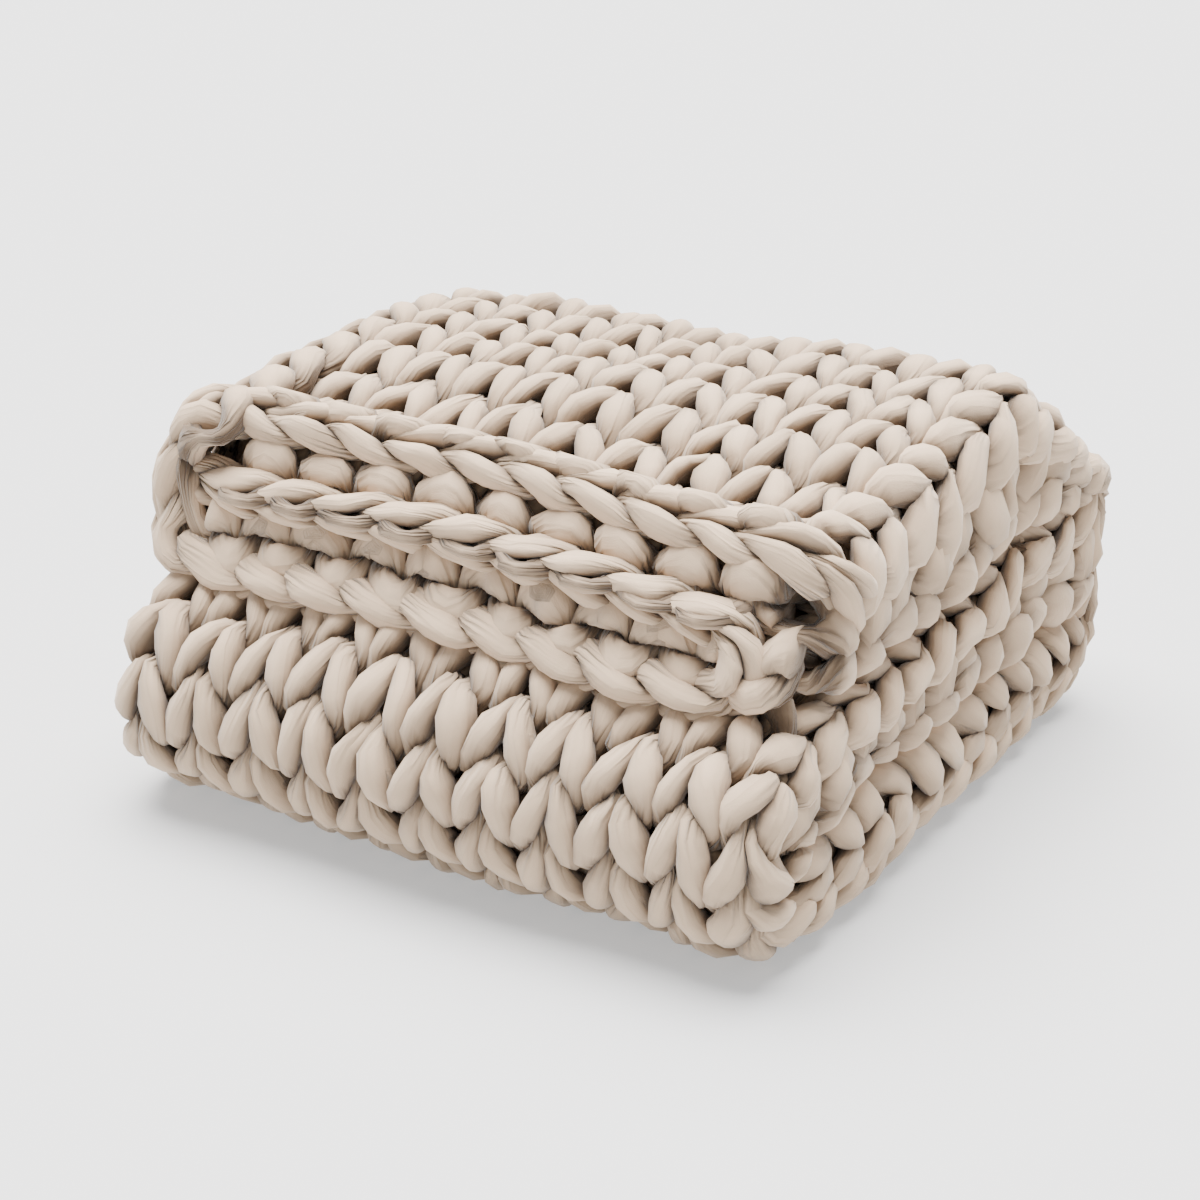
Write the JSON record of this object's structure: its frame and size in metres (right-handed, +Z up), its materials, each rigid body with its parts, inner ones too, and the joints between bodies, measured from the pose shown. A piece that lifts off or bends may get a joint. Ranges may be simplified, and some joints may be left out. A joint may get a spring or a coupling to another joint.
{
  "type": "folded throw blanket",
  "caption": "Chunky knitted throw blanket folded in thirds both ways into a soft rectangular pack, with a top flap that lifts at the back fold.",
  "frame": {"origin": "middle of the folded pack's footprint, on the surface it rests on", "axes": "+Z up, +X to the right along the front fold, +Y from the front fold towards the back fold"},
  "size_m": [0.428, 0.43, 0.2193],
  "materials": {
    "knit_cloth": "matte stuffed jersey tube, chunky stocking stitch",
    "knit_edge": "matte stuffed jersey tube, chained edge"
  },
  "bodies": {
    "folded_pack": {"back_fold_outer_ply": "knit_cloth", "back_fold_middle_ply": "knit_cloth", "back_fold_inner_ply": "knit_cloth", "back_fold_left_side_fold": "knit_cloth", "back_fold_right_side_fold": "knit_cloth", "back_fold_selvedge": "knit_edge", "base_outer_ply": "knit_cloth", "base_middle_ply": "knit_cloth", "base_inner_ply": "knit_cloth", "base_left_side_fold": "knit_cloth", "base_right_side_fold": "knit_cloth", "base_selvedge": "knit_edge", "front_fold_outer_ply": "knit_cloth", "front_fold_middle_ply": "knit_cloth", "front_fold_inner_ply": "knit_cloth", "front_fold_left_side_fold": "knit_cloth", "front_fold_right_side_fold": "knit_cloth", "front_fold_selvedge": "knit_edge", "centre_panel_outer_ply": "knit_cloth", "centre_panel_middle_ply": "knit_cloth", "centre_panel_inner_ply": "knit_cloth", "centre_panel_left_side_fold": "knit_cloth", "centre_panel_right_side_fold": "knit_cloth", "centre_panel_selvedge": "knit_edge", "cast_on_outer": "knit_edge", "cast_on_middle": "knit_edge", "cast_on_inner": "knit_edge", "cast_on_left_turn": "knit_edge", "cast_on_right_turn": "knit_edge", "cast_on_corner": "knit_edge"},
    "flap": {"flap_outer_ply": "knit_cloth", "flap_middle_ply": "knit_cloth", "flap_inner_ply": "knit_cloth", "flap_left_side_fold": "knit_cloth", "flap_right_side_fold": "knit_cloth", "flap_selvedge": "knit_edge", "bind_off_outer": "knit_edge", "bind_off_middle": "knit_edge", "bind_off_inner": "knit_edge", "bind_off_left_turn": "knit_edge", "bind_off_right_turn": "knit_edge", "bind_off_corner": "knit_edge"}
  },
  "joints": [
    {"name": "back_fold_hinge", "type": "hinge", "parent": "folded_pack", "child": "flap", "pos_m": [0, 0.215, 0.1233], "axis": [-1, 0, 0], "range_deg": [0, 60]}
  ]
}
